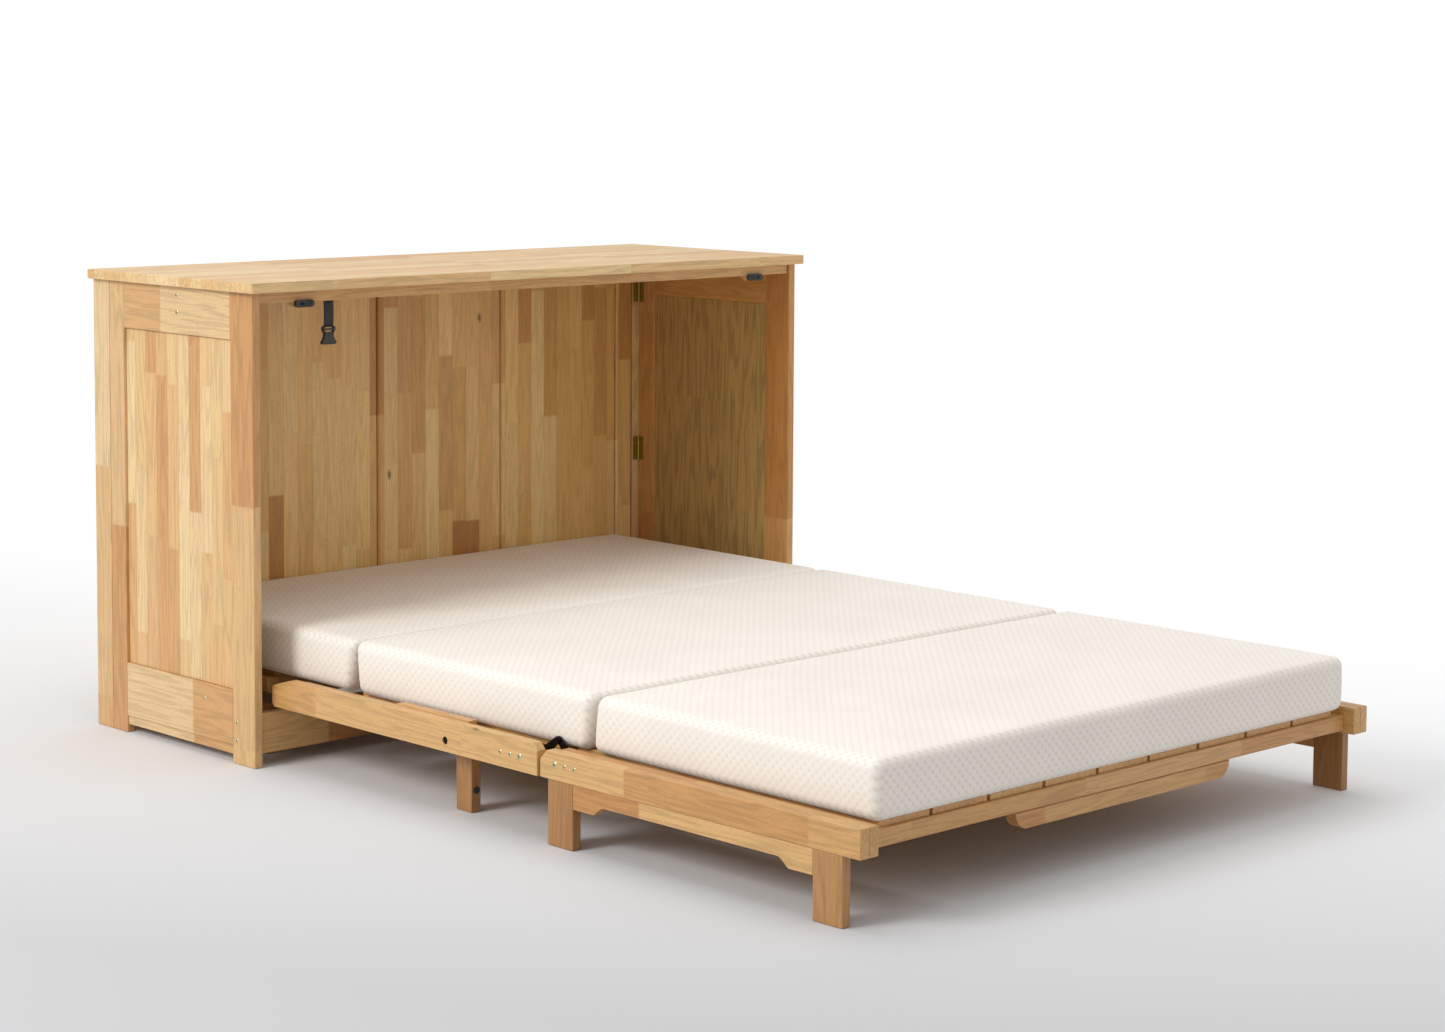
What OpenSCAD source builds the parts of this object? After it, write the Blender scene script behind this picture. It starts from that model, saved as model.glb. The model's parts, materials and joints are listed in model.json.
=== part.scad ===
// Murphy cabinet bed, drawn open: a low wooden chest whose front folds out as a bed.
// The wall is at +Y and the foot of the bed at -Y. The origin is on the floor, in the middle.
// Distances called d run from the wall plane towards the foot of the bed.

/* [Cabinet] */
// Room between the raised frame and the top; it sets the height of the chest
head_room = 38; // [35:1:120]
// Room between each side of the bed and the chest; it sets the width of the chest
side_room = 28.5; // [27:0.5:45]
// Depth of the sides, from the wall to their front edges
cabinet_d = 610; // [608:1:750]
// Thickness of the top board
top_t = 21; // [15:1:25]
// How far the top stands out past each side
top_side_over = 15; // [0:1:30]
// How far the top stands out past the front edges
top_front_over = 19; // [0:1:22]
// Thickness of the side frames
side_t = 20; // [16:1:24]
// Depth of the corner posts, from the wall
post_d = 63; // [50:1:75]
// Width of the corner posts
post_w = 42; // [34:1:50]
// Width of the rear stiles of the sides
rear_stile_w = 58; // [40:1:75]
// Width of the front stiles of the sides
front_stile_w = 81; // [60:1:98]
// Height of the top rails of the sides
side_top_rail_h = 103; // [80:1:130]
// Top edge of the bottom rails of the sides, above the floor
side_bottom_rail_z = 157; // [120:1:190]
// Gap between the floor and the bottom rails
bottom_gap = 18; // [8:1:24]
// Pitch of the back planks
plank_pitch = 382; // [260:1:460]
// Thickness of the back planks
plank_t = 16; // [12:1:20]

/* [Bed] */
// Length of one mattress section
section_l = 743; // [740:1:900]
// Width of the mattress
mattress_w = 1400; // [1150:1:1680]
// Thickness of the mattress
mattress_t = 115; // [90:1:150]
// Height of the slats' upper face, which carries the mattress
slat_z = 178; // [170:1:215]
// Thickness of the slats
slat_t = 12; // [8:1:16]
// Pitch of the slats across the bed
slat_pitch = 154; // [90:1:190]
// Gap between two slats
slat_gap = 8; // [4:1:40]
// Thickness of one layer of a side rail; each rail has two
rail_t = 23; // [18:1:28]
// Height of the middle section's rails
middle_rail_h = 63; // [56:1:70]
// Height of the foot section's rails
foot_rail_h = 55; // [48:1:60]
// Width of the legs of the middle section
middle_leg_w = 48; // [40:1:52]
// Width of the legs of the foot section
foot_leg_w = 72; // [55:1:88]
// Distance of the tilt pivot in front of the sides' front edges
pivot_front = 58; // [56:1:64]

/* [Hardware] */
// Radius of the tilt pivot pins
pivot_r = 6; // [5:0.5:8]
// Radius of the leg bolts
leg_bolt_r = 5; // [4:0.5:6]
// Radius of the fold hinge pins
fold_pin_r = 3; // [2.5:0.5:3.5]
// Radial running clearance of pins and bolts
running_gap = 0.05; // [0.03:0.01:0.1]
// Thickness of the steel plates
steel_t = 3.5; // [3:0.1:3.6]
// Length of a turn catch
catch_l = 49; // [44:1:54]
// Width of a turn catch
catch_w = 16; // [12:1:18]
// Width of the webbing strap
strap_w = 25; // [20:1:30]

/* [Hidden] */
$fn = 48;
curve_steps = 8;

// Cabinet
inner_x = mattress_w / 2 + 9 + 2 * rail_t + side_room;
half_w = inner_x + side_t;
eye_r = 6.5;
under_top = slat_z - 22 + 2 * section_l - 10.5 + eye_r - cabinet_d - pivot_front + head_room;
post_x = half_w - post_w;
panel_d = [post_d + rear_stile_w, cabinet_d - front_stile_w];
panel_z = [side_bottom_rail_z, under_top - side_top_rail_h];
panel_t = 7;
liner_t = 3;
panel_recess = 7;
corner_r = 8;
v_groove = 4;
plank_reveal = 1.5;
plank_tongue = 9;
apron_t = 18;
apron_h = 24;
apron_front = cabinet_d - 6;
lobe_h = 12;
lobe_flat = 26;
lobe_curve = 22;
plinth_t = 18;
plinth_front = cabinet_d - 18;
plinth_z = [25, 112];
hinge_h = 60;
hinge_leaf = 13;
hinge_leaf_t = 1.5;
hinge_knuckle_r = 3;
hinge_z = [104, under_top / 2, under_top - 94];

// Bed levels and widths
gap = 4;
mattress_half = mattress_w / 2;
rail_in = mattress_half + 9;
rail_mid = rail_in + rail_t;
rail_out = rail_mid + rail_t;
slat_half = mattress_half - 25;
slat_under = slat_z - slat_t;
cross_h = 50;
cross_t = 40;
head_d = post_d + 3;
head_end = head_d + section_l + 2;
middle_start = head_end + gap;
middle_end = middle_start + section_l;
foot_start = middle_end + gap;
foot_end = foot_start + section_l + 3;
open_l = foot_end + 16;
wall_y = open_l / 2;

// Motion: the middle section tilts about the pivot, and the foot section folds over it
pivot_d = cabinet_d + pivot_front;
pivot_z = slat_z - 22;
fold_gap = 9;
middle_rail_end = middle_end - 87;
foot_rail_start = middle_rail_end + fold_gap;
foot_deck_start = foot_rail_start + 18;
fold_d = middle_rail_end + fold_gap / 2;
fold_z = slat_z + 14;
middle_rail_z = [slat_z + 12 - middle_rail_h, slat_z + 12];
foot_rail_z = [slat_z + 5 - foot_rail_h, slat_z + 5];
middle_rail_start = pivot_d - 65;
middle_slat_start = middle_start + 2;
platform_end = cabinet_d - 100;

// Legs
middle_leg_t = 24;
middle_leg_x = [rail_in - 2 - middle_leg_t, rail_in - 2];
leg_bolt_d = pivot_d + 522;
leg_bolt_z = slat_z - 4 - middle_leg_w / 2;
foot_leg_x = [rail_mid + 1, rail_out - 1];
foot_leg_d = [foot_rail_start + 22, open_l - 43 - foot_leg_w];
cap_bolt_z = 45;
cap_bolt_r = 4;
cap_r = 7;
cap_t = 3;

// Screws, as [distance from the wall, height, head radius]
screw_r = 2;
screw_sink = 2;
side_screws = [
    [330, under_top - 20, 5], [330, under_top - 57, 5],
    [panel_d[1] - 105, side_bottom_rail_z - 34, 5],
    [panel_d[1] + 15, 89, 5], [panel_d[1] + 15, 50, 5]
];
middle_screws_at = [for (i = [0:2]) [middle_rail_end - 52 - 29 * i, slat_z - 22, i == 0 ? 7 : 5]];
foot_screws_at = [for (i = [0:2]) [foot_rail_start + 43 + 28 * i, slat_z - 20, i == 0 ? 7 : 5]];

// Catches and strap
catch_x = 668;
catch_t = 7;
catch_z = under_top - 28;
catch_off = 8;
catch_screw_r = 2.5;
strap_x = -588;
strap_t = 2;
strap_d = apron_front - apron_t - 3;
strap_top = under_top - apron_h - 3;
strap_drop = 54;
buckle_l = 40;
buckle_w = 38;
buckle_t = 9;

wood = "#d9b37c";
wood_light = "#e4c795";
wood_dark = "#b9894f";
plywood = "#8a6d3f";
cloth = "#efe8dc";
brass = "#c9b45c";
zinc = "#c8b98a";
steel = "#8d8f91";
black = "#222222";

// ---- Shared shapes ----

function out(d) = wall_y - d;
function smooth(t) = t * t * (3 - 2 * t);

// A straight board between ranges of x, of distance from the wall, and of height
module board(x, d, z) {
    translate([x[0], out(d[1]), z[0]]) cube([x[1] - x[0], d[1] - d[0], z[1] - z[0]]);
}

// An outline in (distance from the wall, height), given a thickness along X
module upright(x) {
    translate([x[1], wall_y, 0]) rotate([90, 0, -90]) linear_extrude(x[1] - x[0]) children();
}

// An outline in (x, height), given a thickness along the bed
module across(d) {
    translate([0, out(d[0]), 0]) rotate([90, 0, 0]) linear_extrude(d[1] - d[0]) children();
}

module pin_x(x, d, z, r) {
    translate([x[0], out(d), z]) rotate([0, 90, 0]) cylinder(h = x[1] - x[0], r = r);
}

module pin_y(x, d, z, r) {
    translate([x, out(d[1]), z]) rotate([-90, 0, 0]) cylinder(h = d[1] - d[0], r = r);
}

module right() {
    mirror([1, 0, 0]) children();
}

module both() {
    children();
    right() children();
}

// Screws that enter the left side from outside, at face x, and their holes
module screws_left(face, at, length) {
    for (p = at) {
        pin_x([-face, -face + screw_sink], p[0], p[1], p[2]);
        pin_x([-face + screw_sink, -face + length], p[0], p[1], screw_r);
    }
}

module screw_holes_left(face, at, length) {
    for (p = at) {
        pin_x([-face - 1, -face + screw_sink], p[0], p[1], p[2] + 0.1);
        pin_x([-face, -face + length + 1], p[0], p[1], screw_r + 0.1);
    }
}

// Lengthwise slats; the outermost ones are cut to the slats' half width
module slats(d) {
    count = ceil((slat_half - slat_pitch / 2) / slat_pitch);
    for (i = [-count:count]) {
        low = max(i * slat_pitch - (slat_pitch - slat_gap) / 2, -slat_half);
        high = min(i * slat_pitch + (slat_pitch - slat_gap) / 2, slat_half);
        if (high - low > 12) board([low, high], d, [slat_under, slat_z]);
    }
}

// ---- Cabinet ----

module top_panel() {
    x = half_w + top_side_over;
    y = [out(cabinet_d + top_front_over), wall_y];
    color(wood_light) translate([0, 0, under_top]) linear_extrude(top_t) {
        translate([-x, y[0] + corner_r]) square([2 * x, y[1] - y[0] - corner_r]);
        translate([-x + corner_r, y[0]]) square([2 * (x - corner_r), corner_r]);
        for (s = [-1, 1]) translate([s * (x - corner_r), y[0] + corner_r]) circle(corner_r);
    }
}

module corner_post() {
    color(wood) board([-half_w, -post_x], [0, post_d], [0, under_top]);
}

module rear_stile() {
    seam = 1.5;
    color(wood) difference() {
        board([-half_w, -inner_x], [post_d, panel_d[0]], [0, under_top]);
        board([-half_w - 1, -half_w + 3], [post_d - 1, post_d + seam], [-1, under_top + 1]);
    }
}

module front_stile() {
    color(wood_light) difference() {
        board([-half_w, -inner_x], [panel_d[1], cabinet_d], [0, under_top]);
        screw_holes_left(half_w, side_screws, 15);
    }
}

module side_top_rail() {
    color(wood) difference() {
        board([-half_w, -inner_x], panel_d, [panel_z[1], under_top]);
        screw_holes_left(half_w, side_screws, 15);
    }
}

// The bottom rail's lower edge is set back as a small step
module side_bottom_rail() {
    step = [bottom_gap + 20, 3];
    color(wood_light) difference() {
        board([-half_w, -inner_x], panel_d, [bottom_gap, panel_z[0]]);
        board([-half_w - 1, -half_w + step[1]], [panel_d[0] - 1, panel_d[1] + 1], [0, step[0]]);
        screw_holes_left(half_w, side_screws, 15);
    }
}

module side_panel() {
    x = -half_w + panel_recess;
    color(wood_light) board([x, x + panel_t], panel_d, panel_z);
}

module side_liner() {
    x = -half_w + panel_recess + panel_t;
    color(plywood) board([x, x + liner_t], panel_d, panel_z);
}

// Planks with chamfered front edges and a narrow reveal between them, closed behind by their
// tongues; the first and last are cut to fit
module back_planks() {
    edge_w = 57;
    inner = post_x - edge_w;
    cuts = [for (x = inner; x > -inner; x = x - plank_pitch) x];
    edges = concat([post_x], cuts, [-inner, -post_x]);
    color(wood_dark) translate([0, 0, bottom_gap]) linear_extrude(under_top - bottom_gap)
        for (i = [0:len(edges) - 2]) {
            a = edges[i + 1];
            b = edges[i];
            front = out(post_d);
            rear = front + plank_t;
            low = a + plank_reveal;
            high = b - plank_reveal;
            if (b - a > 4 * v_groove)
                polygon([[a, rear], [a, front + plank_tongue], [low, front + plank_tongue],
                         [low, front + v_groove], [low + v_groove, front],
                         [high - v_groove, front], [high, front + v_groove],
                         [high, front + plank_tongue], [b, front + plank_tongue], [b, rear]]);
        }
}

module back_rails() {
    h = 70;
    color(wood) for (z = [bottom_gap + 20, under_top / 2, under_top - h - 12])
        board([-post_x, post_x], [post_d - plank_t - 22, post_d - plank_t], [z, z + h]);
}

// The apron under the top has a level lower edge, with a rounded lobe behind each catch
module front_apron() {
    low = under_top - apron_h;
    left_up = [for (i = [0:curve_steps]) let (t = i / curve_steps)
        [lobe_flat / 2 + lobe_curve * t, -lobe_h * (1 - smooth(t))]];
    color(wood) difference() {
        across([apron_front - apron_t, apron_front]) {
            translate([-inner_x, low]) square([2 * inner_x, apron_h]);
            for (s = [-1, 1]) translate([s * catch_x, low])
                polygon(concat(
                    [for (p = left_up) p],
                    [for (i = [curve_steps:-1:0]) [-left_up[i][0], left_up[i][1]]]
                ));
        }
        for (s = [-1, 1])
            pin_y(s * (catch_x + catch_off), [apron_front - 15, apron_front + 1], catch_z, catch_screw_r);
    }
}

module plinth() {
    color(wood) board([-inner_x, inner_x], [plinth_front - plinth_t, plinth_front], plinth_z);
}

// Butt hinges that join the sides to the back; both leaves and the knuckle show inside
module corner_hinges() {
    color(brass) both() for (z = hinge_z) {
        x = -inner_x + hinge_knuckle_r + 0.3;
        d = post_d + hinge_knuckle_r + 0.3;
        translate([x, out(d), z - hinge_h / 2]) cylinder(h = hinge_h, r = hinge_knuckle_r);
        board([-inner_x, -inner_x + hinge_leaf_t],
              [d + hinge_knuckle_r + 0.1, d + hinge_knuckle_r + hinge_leaf], [z - hinge_h / 2, z + hinge_h / 2]);
        board([x + hinge_knuckle_r + 0.1, x + hinge_knuckle_r + hinge_leaf],
              [post_d, post_d + hinge_leaf_t], [z - hinge_h / 2, z + hinge_h / 2]);
    }
}

module cabinet_screws() {
    color(zinc) both() screws_left(half_w, side_screws, 14);
}

// ---- Head platform, fixed in the cabinet ----

head_rail_x = [mattress_half - 28, mattress_half];

module head_rails() {
    color(wood) both()
        board([-head_rail_x[1], -head_rail_x[0]], [head_d, platform_end], [slat_under - cross_h, slat_under]);
}

module head_cross_rails() {
    color(wood) for (d = [head_d, (head_d + platform_end - cross_t) / 2, platform_end - cross_t])
        board([-head_rail_x[0], head_rail_x[0]], [d, d + cross_t], [slat_under - cross_h, slat_under]);
}

module head_slats() {
    color(wood) slats([head_d, platform_end]);
}

module head_legs() {
    w = 45;
    color(wood) both() for (d = [head_d, platform_end - w])
        board([-head_rail_x[1], -head_rail_x[1] + w], [d, d + w], [0, slat_under - cross_h]);
}

// Steel arms on the platform's sides, which carry the pins that the middle section tilts on.
// The arms run low and turn up at their ends, which leaves room for the folded foot section.
bracket_x = [mattress_half, mattress_half + steel_t];
bracket_h = 32;
arm_z = [plinth_z[1] + 2, pivot_z - 20];

module pivot_brackets() {
    h = bracket_h;
    color(steel) both() {
        upright([-bracket_x[1], -bracket_x[0]]) {
            polygon([[platform_end - 90, arm_z[0]], [pivot_d - 28, arm_z[0]],
                     [pivot_d - 28, pivot_z - h / 2], [pivot_d, pivot_z - h / 2],
                     [pivot_d, pivot_z + h / 2], [pivot_d - 23, pivot_z + h / 2],
                     [pivot_d - 48, pivot_z + 4], [pivot_d - 60, arm_z[1]], [platform_end - 90, arm_z[1]]]);
            translate([pivot_d, pivot_z]) circle(h / 2);
        }
        pin_x([-rail_mid + 1, -bracket_x[1] + 0.01], pivot_d, pivot_z, pivot_r);
    }
}

module catch_screws() {
    face = apron_front + catch_t;
    color(zinc) both() {
        pin_y(-catch_x - catch_off, [apron_front - 14, face - 1.5], catch_z, catch_screw_r - running_gap);
        pin_y(-catch_x - catch_off, [face - 1.5, face + 0.5], catch_z, catch_screw_r + 1.5);
    }
}

module strap_anchor() {
    color(black) board([strap_x - strap_w / 2, strap_x + strap_w / 2],
                       [apron_front - apron_t - 4, apron_front - apron_t], [strap_top + 3, under_top - 3]);
}

// ---- Mattress ----

module section(d) {
    color(cloth) board([-mattress_half, mattress_half], d, [slat_z, slat_z + mattress_t]);
}

module mattress_head() { section([head_d, head_end]); }
module mattress_middle() { section([middle_start, middle_end]); }
module mattress_foot() { section([foot_start, foot_end]); }

// ---- Middle section ----

module middle_rail() {
    z = middle_rail_z;
    color(wood) difference() {
        upright([-rail_out, -rail_mid]) polygon([
            [middle_rail_start, z[0] + 8], [middle_rail_start + 8, z[0]],
            [middle_rail_end, z[0]], [middle_rail_end, z[1] - 14], [middle_rail_end - 14, z[1]],
            [middle_rail_start + 61, z[1]], [middle_rail_start, z[1] - 18]
        ]);
        screw_holes_left(rail_out, middle_screws_at, rail_t - 1);
        pin_x([-rail_out - 1, -rail_out + 6], leg_bolt_d, leg_bolt_z, leg_bolt_r + 3.1);
        pin_x([-rail_out - 1, -rail_in + 1], leg_bolt_d, leg_bolt_z, leg_bolt_r + 0.1);
    }
}

// The inner layer is lower than the outer one, and raised where the leg is bolted on
module middle_inner_rail() {
    z = [middle_rail_z[0], middle_rail_z[1] - 6];
    low = slat_z - 10;
    rise = [leg_bolt_d - 185, leg_bolt_d + 45];
    color(wood) difference() {
        upright([-rail_mid, -rail_in]) polygon([
            [middle_rail_start + 12, z[0]], [middle_rail_end - 6, z[0]], [middle_rail_end - 6, low],
            [rise[1], low], [rise[1], z[1] + 9],
            [rise[0], z[1] + 9], [rise[0] - 12, z[1]], [middle_rail_start + 70, z[1]],
            [middle_rail_start + 12, z[1] - 16]
        ]);
        screw_holes_left(rail_out, middle_screws_at, 40);
        pin_x([-rail_mid - 1, -rail_in + 1], pivot_d, pivot_z, pivot_r + running_gap);
        pin_x([-rail_mid - 1, -rail_in + 1], leg_bolt_d, leg_bolt_z, leg_bolt_r + 0.1);
    }
}

// The first cross rail turns about the pivot, below the brackets. The slats start where the
// mattress's head section ends, so that section stays clear when the frame is raised.
module middle_cross_rails() {
    low = pivot_z - bracket_h / 2 - 28;
    color(wood) {
        board([-rail_in, rail_in], [pivot_d - 20, pivot_d + 20], [low, low + 26]);
        difference() {
            for (d = [middle_slat_start, leg_bolt_d + middle_leg_w / 2 + 20, middle_rail_end - cross_t - 8])
                board([-rail_in, rail_in], [d, d + cross_t], [slat_under - cross_h, slat_under]);
            plate_notches([middle_rail_end - 131, middle_rail_end]);
        }
    }
}

module middle_slats() {
    color(wood) slats([middle_slat_start, middle_rail_end - 8]);
}

// Steel plates inside the rails, with an eye above them for the fold pin
plate_x = rail_in - steel_t;

// Room for both plates in the ends of a cross rail
module plate_notches(d) {
    inner = plate_x - steel_t - 1;
    both() board([-rail_in - 1, -inner], d, [slat_z - 38.5, slat_z]);
}

module fold_plates_middle() {
    color(steel) both() difference() {
        upright([-rail_in, -plate_x]) union() {
            translate([middle_rail_end - 130, slat_z - 38]) square([122, 30]);
            polygon([[middle_rail_end - 40, slat_z - 8.5], [middle_rail_end - 8.5, slat_z - 8.5],
                     [fold_d + eye_r * 0.6, fold_z - eye_r * 0.8], [fold_d - eye_r * 0.8, fold_z + eye_r * 0.6]]);
            translate([fold_d, fold_z]) circle(eye_r);
        }
        pin_x([-rail_in - 1, -plate_x + 1], fold_d, fold_z, fold_pin_r + running_gap);
    }
}

module leg_pivot_bolts() {
    color(steel) both() {
        pin_x([-rail_out + 3, -rail_out + 6], leg_bolt_d, leg_bolt_z, leg_bolt_r + 3);
        pin_x([-rail_out + 6, -middle_leg_x[0] + 1], leg_bolt_d, leg_bolt_z, leg_bolt_r);
        pin_x([-middle_leg_x[0] + 1, -middle_leg_x[0] + 6], leg_bolt_d, leg_bolt_z, leg_bolt_r + 3);
    }
}

module middle_screws() {
    color(zinc) both() screws_left(rail_out, middle_screws_at, 40);
}

module middle_leg() {
    r = middle_leg_w / 2;
    color(wood) difference() {
        upright([-middle_leg_x[1], -middle_leg_x[0]]) {
            translate([leg_bolt_d - r, 0]) square([middle_leg_w, leg_bolt_z]);
            translate([leg_bolt_d, leg_bolt_z]) circle(r);
        }
        pin_x([-middle_leg_x[1] - 1, -middle_leg_x[0] + 1], leg_bolt_d, leg_bolt_z, leg_bolt_r + running_gap);
        pin_y(-(middle_leg_x[0] + middle_leg_x[1]) / 2, [leg_bolt_d - r - 1, leg_bolt_d + r + 1],
              cap_bolt_z, cap_bolt_r + 0.1);
    }
}

// A capped bolt through the lower end of each middle leg
module leg_bolt() {
    r = middle_leg_w / 2;
    x = -(middle_leg_x[0] + middle_leg_x[1]) / 2;
    color(black) {
        pin_y(x, [leg_bolt_d - r - cap_t, leg_bolt_d - r], cap_bolt_z, cap_r);
        pin_y(x, [leg_bolt_d - r, leg_bolt_d + r], cap_bolt_z, cap_bolt_r);
        pin_y(x, [leg_bolt_d + r, leg_bolt_d + r + cap_t], cap_bolt_z, cap_r);
    }
}

// ---- Foot section ----

module foot_rail() {
    z = foot_rail_z;
    color(wood) difference() {
        upright([-rail_out, -rail_mid]) polygon([
            [foot_rail_start, z[0]], [open_l, z[0]], [open_l, z[1]],
            [foot_rail_start + 19, z[1]], [foot_rail_start, z[1] - 19]
        ]);
        screw_holes_left(rail_out, foot_screws_at, rail_t - 1);
    }
}

module foot_inner_rail() {
    z = foot_rail_z;
    color(wood) difference() {
        upright([-rail_mid, -rail_in]) polygon([
            [foot_rail_start + 14, z[0]], [open_l, z[0]], [open_l, z[1]],
            [foot_rail_start + 34, z[1]], [foot_rail_start + 14, z[1] - 19]
        ]);
        screw_holes_left(rail_out, foot_screws_at, 40);
    }
}

// The shaped board between a side's two legs: deep at the legs, shallow between them
module foot_apron() {
    a = foot_leg_d[0] + foot_leg_w;
    b = foot_leg_d[1];
    top = foot_rail_z[0];
    low = top - 48;
    high = top - 30;
    flat = 55;
    run = 32;
    rise = [for (i = [0:curve_steps]) let (t = i / curve_steps)
        [a + flat + run * t, low + (high - low) * smooth(t)]];
    color(wood) upright([-foot_leg_x[1], -foot_leg_x[0]]) polygon(concat(
        [[a, top], [a, low]], rise,
        [for (i = [curve_steps:-1:0]) [a + b - rise[i][0], rise[i][1]]], [[b, low], [b, top]]
    ));
}

module foot_legs() {
    color(wood) for (d = foot_leg_d)
        board([-foot_leg_x[1], -foot_leg_x[0]], [d, d + foot_leg_w], [0, foot_rail_z[0]]);
}

module foot_cross_rail() {
    color(wood) difference() {
        board([-rail_in, rail_in], [foot_deck_start, foot_deck_start + cross_t],
              [slat_under - cross_h, slat_under]);
        plate_notches([foot_deck_start - 1, foot_deck_start + cross_t + 1]);
    }
}

end_rail_d = [open_l - 24 - 26, open_l - 24];
end_rail_z = [slat_under - 32, slat_under];

module foot_end_rail() {
    color(wood) board([-rail_in, rail_in], end_rail_d, end_rail_z);
}

// The board to lift the foot section by, with its lower corners rounded
module handle_board() {
    half = 320;
    r = 32;
    low = end_rail_z[0] - 33;
    color(wood) across(end_rail_d) intersection() {
        translate([-half, low]) square([2 * half, end_rail_z[0] - low]);
        union() {
            translate([-half, low + r]) square([2 * half, r]);
            translate([-half + r, low]) square([2 * (half - r), 2 * r]);
            for (s = [-1, 1]) translate([s * (half - r), low + r]) circle(r);
        }
    }
}

module foot_slats() {
    color(wood) slats([foot_deck_start, end_rail_d[1] - 9]);
}

module fold_plates_foot() {
    inner = plate_x - 0.5 - steel_t;
    color(steel) both() {
        difference() {
            upright([-plate_x + 0.5, -inner]) union() {
                translate([foot_rail_start + 8, slat_z - 38]) square([122, 30]);
                polygon([[foot_rail_start + 8.5, slat_z - 8.5], [foot_rail_start + 40, slat_z - 8.5],
                         [fold_d + eye_r * 0.8, fold_z + eye_r * 0.6], [fold_d - eye_r * 0.6, fold_z - eye_r * 0.8]]);
                translate([fold_d, fold_z]) circle(eye_r);
            }
            pin_x([-plate_x, -inner + 1], fold_d, fold_z, fold_pin_r);
        }
        board([-rail_in, -plate_x + 0.5], [foot_rail_start + 20, foot_rail_start + 128], [slat_z - 36, slat_z - 12]);
        pin_x([-rail_in - 2, -inner + 0.5], fold_d, fold_z, fold_pin_r);
    }
}

module foot_screws() {
    color(zinc) both() screws_left(rail_out, foot_screws_at, 40);
}

// ---- Catches and strap ----

// A turn catch, shown level; its screw is off the middle, so the inner arm is longer
module turn_catch() {
    r = catch_w / 2;
    span = catch_l / 2 - r;
    color(black) difference() {
        translate([-catch_x, 0, catch_z]) across([apron_front + 0.3, apron_front + catch_t]) {
            translate([-span, -r]) square([2 * span, catch_w]);
            for (s = [-1, 1]) translate([s * span, 0]) circle(r);
        }
        pin_y(-catch_x - catch_off, [apron_front - 1, apron_front + catch_t + 1], catch_z, catch_screw_r);
        pin_y(-catch_x - catch_off, [apron_front + catch_t - 1.6, apron_front + catch_t + 1],
              catch_z, catch_screw_r + 1.5 + running_gap);
    }
}

module strap_webbing() {
    color(black) board([strap_x - strap_w / 2, strap_x + strap_w / 2], [strap_d, strap_d + strap_t],
                       [strap_top - strap_drop, strap_top]);
}

// The receiving half of a side release buckle
module strap_buckle() {
    z = strap_top - strap_drop;
    d = strap_d + strap_t / 2;
    h = buckle_w / 2;
    color(black) across([d - buckle_t / 2, d + buckle_t / 2]) translate([strap_x, z]) polygon([
        [-h * 0.7, 0], [-h * 0.86, -8], [-h * 0.62, -15], [-h * 0.62, -22], [-h, -buckle_l + 6],
        [-h * 0.96, -buckle_l], [h * 0.96, -buckle_l], [h, -buckle_l + 6], [h * 0.62, -22],
        [h * 0.62, -15], [h * 0.86, -8], [h * 0.7, 0]
    ]);
}

module corner_post_left() { corner_post(); }
module corner_post_right() { right() corner_post(); }
module rear_stile_left() { rear_stile(); }
module rear_stile_right() { right() rear_stile(); }
module front_stile_left() { front_stile(); }
module front_stile_right() { right() front_stile(); }
module side_top_rail_left() { side_top_rail(); }
module side_top_rail_right() { right() side_top_rail(); }
module side_bottom_rail_left() { side_bottom_rail(); }
module side_bottom_rail_right() { right() side_bottom_rail(); }
module side_panel_left() { side_panel(); }
module side_panel_right() { right() side_panel(); }
module side_liners() { both() side_liner(); }
module middle_rail_left() { middle_rail(); }
module middle_rail_right() { right() middle_rail(); }
module middle_inner_rails() { both() middle_inner_rail(); }
module foot_rail_left() { foot_rail(); }
module foot_rail_right() { right() foot_rail(); }
module foot_inner_rails() { both() foot_inner_rail(); }
module foot_apron_left() { foot_apron(); }
module foot_apron_right() { right() foot_apron(); }
module foot_legs_left() { foot_legs(); }
module foot_legs_right() { right() foot_legs(); }
module middle_leg_left() { middle_leg(); }
module middle_leg_right() { right() middle_leg(); }
module leg_bolt_left() { leg_bolt(); }
module leg_bolt_right() { right() leg_bolt(); }
module catch_left() { turn_catch(); }
module catch_right() { right() turn_catch(); }

top_panel();
corner_post_left();
corner_post_right();
rear_stile_left();
rear_stile_right();
front_stile_left();
front_stile_right();
side_top_rail_left();
side_top_rail_right();
side_bottom_rail_left();
side_bottom_rail_right();
side_panel_left();
side_panel_right();
side_liners();
back_planks();
back_rails();
front_apron();
plinth();
corner_hinges();
cabinet_screws();
head_rails();
head_cross_rails();
head_slats();
head_legs();
pivot_brackets();
catch_screws();
strap_anchor();
mattress_head();
middle_rail_left();
middle_rail_right();
middle_inner_rails();
middle_cross_rails();
middle_slats();
fold_plates_middle();
leg_pivot_bolts();
middle_screws();
mattress_middle();
foot_rail_left();
foot_rail_right();
foot_inner_rails();
foot_apron_left();
foot_apron_right();
foot_legs_left();
foot_legs_right();
foot_cross_rail();
foot_end_rail();
handle_board();
foot_slats();
fold_plates_foot();
foot_screws();
mattress_foot();
middle_leg_left();
middle_leg_right();
leg_bolt_left();
leg_bolt_right();
catch_left();
catch_right();
strap_webbing();
strap_buckle();
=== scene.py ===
"""Murphy cabinet bed, drawn open: finishes, soft pieces, small hardware and studio.

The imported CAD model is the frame. Every wooden board is rebuilt from its CAD node with eased
edges, slats and screws come from Geometry Nodes, and the mattress is three foam sections.
All lengths are in metres in the frame's axes: X across, -Y to the foot, Z up.
"""

import json
import logging
import math
from dataclasses import dataclass, field
from enum import Enum
from typing import Any

import bmesh
import bpy
from mathutils import Matrix, Vector

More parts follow.
